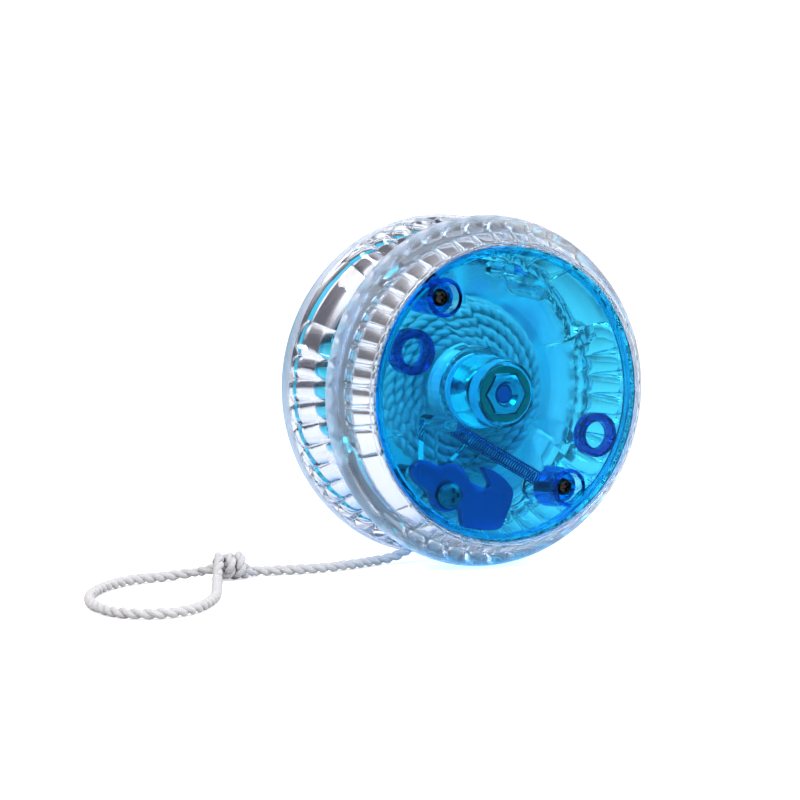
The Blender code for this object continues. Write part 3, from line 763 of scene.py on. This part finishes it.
def winding_path():
    """Two turns to a layer, side by side, from the spool out."""
    path, per_turn = [], 48
    turns = 2.0 * (WINDING_LAST_R - WINDING_FIRST_R) / WINDING_STEP
    end_angle = math.radians(-49.0)
    for step in range(int(turns * per_turn) + 1):
        turn = step / per_turn
        radius = WINDING_FIRST_R + 0.5 * WINDING_STEP * turn
        angle = end_angle - 2.0 * math.pi * (turn - turns)
        swing = math.sin(math.pi * turn)
        side = WINDING_SIDE * max(-1.0, min(1.0, 2.2 * swing))
        path.append((radius * math.cos(angle), side, radius * math.sin(angle)))
    return np.array(path)


def lay_cord(names, body, look, route):
    """Lay the string along a route as a piece on its body, in place of its CAD node."""
    piece_name, node_name = names
    line = resample(route, 0.3)
    piece = place(twisted(piece_name, [line]), body, [node_name], look, False)


def knot(name):
    """Slip knot: the tail winds round the other end of the finger loop and leaves as the loop."""
    centre, coil = np.array(KNOT_CENTRE), []
    for step in range(KNOT_STEPS + 1):
        share = step / KNOT_STEPS
        angle = math.radians(-90.0 + 360.0 * KNOT_TURNS * share)
        along = KNOT_LONG * (0.5 - share)
        coil.append(centre + (along, KNOT_WIDE * math.cos(angle), KNOT_TALL * math.sin(angle)))
    wrapped = smooth_line([TAIL_ROUTE[-1], *coil, LOOP_ROUTE[0]], 3)
    through = smooth_line([TAIL_ROUTE[-1], KNOT_CENTRE, LOOP_ROUTE[-1]], 12)
    return twisted(name, [wrapped, through], step=0.2)


# ---------------------------------------------------------------- build


def build_half(side, turned, looks):
    """Every piece of one half; the rear half is the front one turned over."""
    body, clutch = "yoyo", side + "_clutch"

    def add(obj, node_name, look, rides_on=body):
        return place(obj, rides_on, [side + node_name], looks[look], turned)

    shell = add(half_shell(side + "_clear_half"), "_shell", "clear")
    frost(shell, looks)
    add(cap(side + "_blue_cap"), "_cap", "blue")
    for index, point in enumerate(twins(TUBE), 1):
        add(cap_ring(f"{side}_cap_ring_{index}", point), "_cap", "ring")
    for index, point in enumerate(twins(SCREW_POST), 1):
        fixing = screw(f"{side}_cap_phillips_{index}", point, *CAP_SCREW)
        add(fixing, f"_cap_screw_{index}", "dark")
    add(screw(side + "_pivot_phillips", PIVOT, *PIVOT_SCREW), "_pivot_screw", "pivot")
    add(nut(side + "_hex_nut"), "_nut", "steel")
    add(brake_arm(side + "_lever"), "_brake_arm", "clear", clutch)
    add(flyweight(side + "_weight"), "_flyweight", "blued", clutch)
    coil = add(spring(side + "_coil"), "_spring", "blued")
    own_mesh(coil)


def paint_node(name, look):
    """Give a carried-over CAD solid its look."""
    shown = bpy.data.objects[name]
    shown.data.materials.clear()
    shown.data.materials.append(look)


def build_string(look):
    """Wound string on the spool, then the free tail, the slip knot and the finger loop on the floor."""
    lay_cord(("wound_string", "string_winding"), "spool", look, winding_path())
    tied = place(knot("slip_knot"), "yoyo", ["string_knot"], look, False)
    tail, loop = smooth_line(TAIL_ROUTE, 8), smooth_line(LOOP_ROUTE, 8)
    lay_cord(("free_string", "string_tail"), "yoyo", look, tail)
    lay_cord(("finger_string", "finger_loop"), "yoyo", look, loop)


def build_stage():
    """Pale floor, with a glow that only the camera sees."""
    bpy.ops.mesh.primitive_plane_add(size=6.0, location=(0.0, 0.0, FLOOR_Z * MM))
    floor = bpy.context.object
    floor.name = "studio_floor"
    look, nodes, links, shader = new_look("studio_floor")
    shader.inputs["Base Color"].default_value = (FLOOR_ALBEDO, FLOOR_ALBEDO, FLOOR_ALBEDO, 1.0)
    shader.inputs["Roughness"].default_value = 0.9
    shader.inputs["Specular IOR Level"].default_value = 0.0
    shader.inputs["Emission Color"].default_value = (1.0, 1.0, 1.0, 1.0)
    path = node(nodes, "ShaderNodeLightPath")
    glow = node(nodes, "ShaderNodeMath", operation="MULTIPLY")
    glow.inputs[1].default_value = FLOOR_GLOW
    links.new(path.outputs["Is Camera Ray"], glow.inputs[0])
    links.new(glow.outputs["Value"], shader.inputs["Emission Strength"])
    floor.data.materials.append(look)


def build_camera():
    """Long lens near eye level, to the left of the front cap."""
    azimuth, elevation = math.radians(CAMERA_AZIMUTH), math.radians(CAMERA_ELEVATION)
    back = Vector((math.sin(azimuth) * math.cos(elevation), -math.cos(azimuth) * math.cos(elevation),
                   math.sin(elevation)))
    right = Vector((math.cos(azimuth), math.sin(azimuth), 0.0))
    up = back.cross(right)
    data = bpy.data.cameras.new("camera")
    data.lens = CAMERA_LENS
    data.sensor_width = 36.0
    data.clip_start = 0.01
    camera = bpy.data.objects.new("camera", data)
    camera.location = (back * CAMERA_DISTANCE + right * CAMERA_SIDE + up * CAMERA_RISE) * MM
    camera.rotation_mode = "QUATERNION"
    camera.rotation_quaternion = (-back).to_track_quat("-Z", "Y")
    bpy.context.scene.collection.objects.link(camera)
    bpy.context.scene.camera = camera


def area_light(name, location, size, power):
    """Round soft light that points at the middle of the object."""
    data = bpy.data.lights.new(name, "AREA")
    data.shape = "DISK"
    data.size = size
    data.energy = power
    light = bpy.data.objects.new(name, data)
    light.location = location
    light.rotation_mode = "QUATERNION"
    light.rotation_quaternion = (-Vector(location)).to_track_quat("-Z", "Y")
    bpy.context.scene.collection.objects.link(light)


def band_ramp(nodes, links, height, bands):
    """Colours by height in the world, from (position, colour) stops."""
    ramp = node(nodes, "ShaderNodeValToRGB")
    stops = ramp.color_ramp.elements
    stops[0].position, stops[0].color = bands[0][0], (*bands[0][1], 1.0)
    stops[1].position, stops[1].color = bands[-1][0], (*bands[-1][1], 1.0)
    for position, color in bands[1:-1]:
        stops.new(position).color = (*color, 1.0)
    links.new(height, ramp.inputs["Fac"])
    return ramp.outputs["Color"]


def build_world():
    """Studio in height bands with one dark stretch of wall, behind and to the left.

    The camera itself sees a plain white backdrop; only reflections and light see the bands.
    """
    world = bpy.data.worlds.new("studio")
    bpy.context.scene.world = world
    world.use_nodes = True
    nodes, links = world.node_tree.nodes, world.node_tree.links
    coordinates = node(nodes, "ShaderNodeTexCoord")
    split = node(nodes, "ShaderNodeSeparateXYZ")
    height = node(nodes, "ShaderNodeMath", operation="MULTIPLY_ADD")
    height.inputs[1].default_value = 0.5
    height.inputs[2].default_value = 0.5
    links.new(coordinates.outputs["Generated"], split.inputs["Vector"])
    links.new(split.outputs["Z"], height.inputs[0])
    toward = node(nodes, "ShaderNodeVectorMath", operation="DOT_PRODUCT")
    toward.inputs[1].default_value = at_angle(1.0, WALL_HEADING) + (0.0,)
    links.new(coordinates.outputs["Generated"], toward.inputs[0])
    side = node(nodes, "ShaderNodeMapRange", interpolation_type="SMOOTHSTEP")
    side.inputs["From Min"].default_value = WALL_FADE[0]
    side.inputs["From Max"].default_value = WALL_FADE[1]
    links.new(toward.outputs["Value"], side.inputs["Value"])
    mix = node(nodes, "ShaderNodeMix", data_type="RGBA")
    links.new(side.outputs["Result"], mix.inputs["Factor"])
    links.new(band_ramp(nodes, links, height.outputs["Value"], STUDIO_BANDS), mix.inputs["A"])
    links.new(band_ramp(nodes, links, height.outputs["Value"], WALL_BANDS), mix.inputs["B"])
    path = node(nodes, "ShaderNodeLightPath")
    seen = node(nodes, "ShaderNodeMix", data_type="RGBA")
    seen.inputs["B"].default_value = BACKDROP
    links.new(path.outputs["Is Camera Ray"], seen.inputs["Factor"])
    links.new(mix.outputs["Result"], seen.inputs["A"])
    links.new(seen.outputs["Result"], nodes["Background"].inputs["Color"])


def build_light():
    build_world()
    area_light("key", (-0.35, -0.4, 0.75), 0.45, KEY_POWER)
    area_light("fill", (0.6, -0.5, 0.5), 0.6, FILL_POWER)
    view = bpy.context.scene.view_settings
    view.view_transform = "Standard"
    view.look = "Medium High Contrast"
    view.exposure = 0.0


def all_looks():
    """Every material by its short name."""
    return {
        "clear": clear_look("clear_plastic", 0.02, 0.002),
        "satin": clear_look("satin_plastic", 0.24, 0.12),
        "milky": clear_look("milky_plastic", 0.24, 0.06, 0.88),
        "frosted": frosted_look(),
        "blue": blue_look("blue_clear_plastic", (0.0, 0.87, 0.98, 1.0), 2000.0, (0.1, 0.5, 0.9, 1.0)),
        "ring": blue_look("deep_blue_plastic", (0.4, 0.2, 0.75, 1.0), 1500.0, (0.3, 0.3, 0.9, 1.0)),
        "steel": steel_look("polished_steel", (0.42, 0.44, 0.5), 0.22),
        "pivot": steel_look("pivot_steel", (0.16, 0.17, 0.2), 0.3),
        "dark": steel_look("dark_steel", (0.05, 0.045, 0.04), 0.2),
        "spool": plastic_look("spool_plastic", (0.85, 0.88, 0.9), 0.35),
        "green": plastic_look("green_plastic", (0.01, 0.14, 0.07), 0.35),
        "blued": steel_look("blued_steel", (0.12, 0.1, 0.32), 0.3),
        "string": string_look(),
    }


def main():
    looks = all_looks()
    build_camera()
    build_string(looks["string"])
    for side, turned in (("front", False), ("rear", True)):
        build_half(side, turned, looks)
        paint_node(side + "_nut_holder", looks["green"])
    paint_node("axle", looks["blued"])
    paint_node("spool", looks["spool"])
    build_stage()
    build_light()


main()
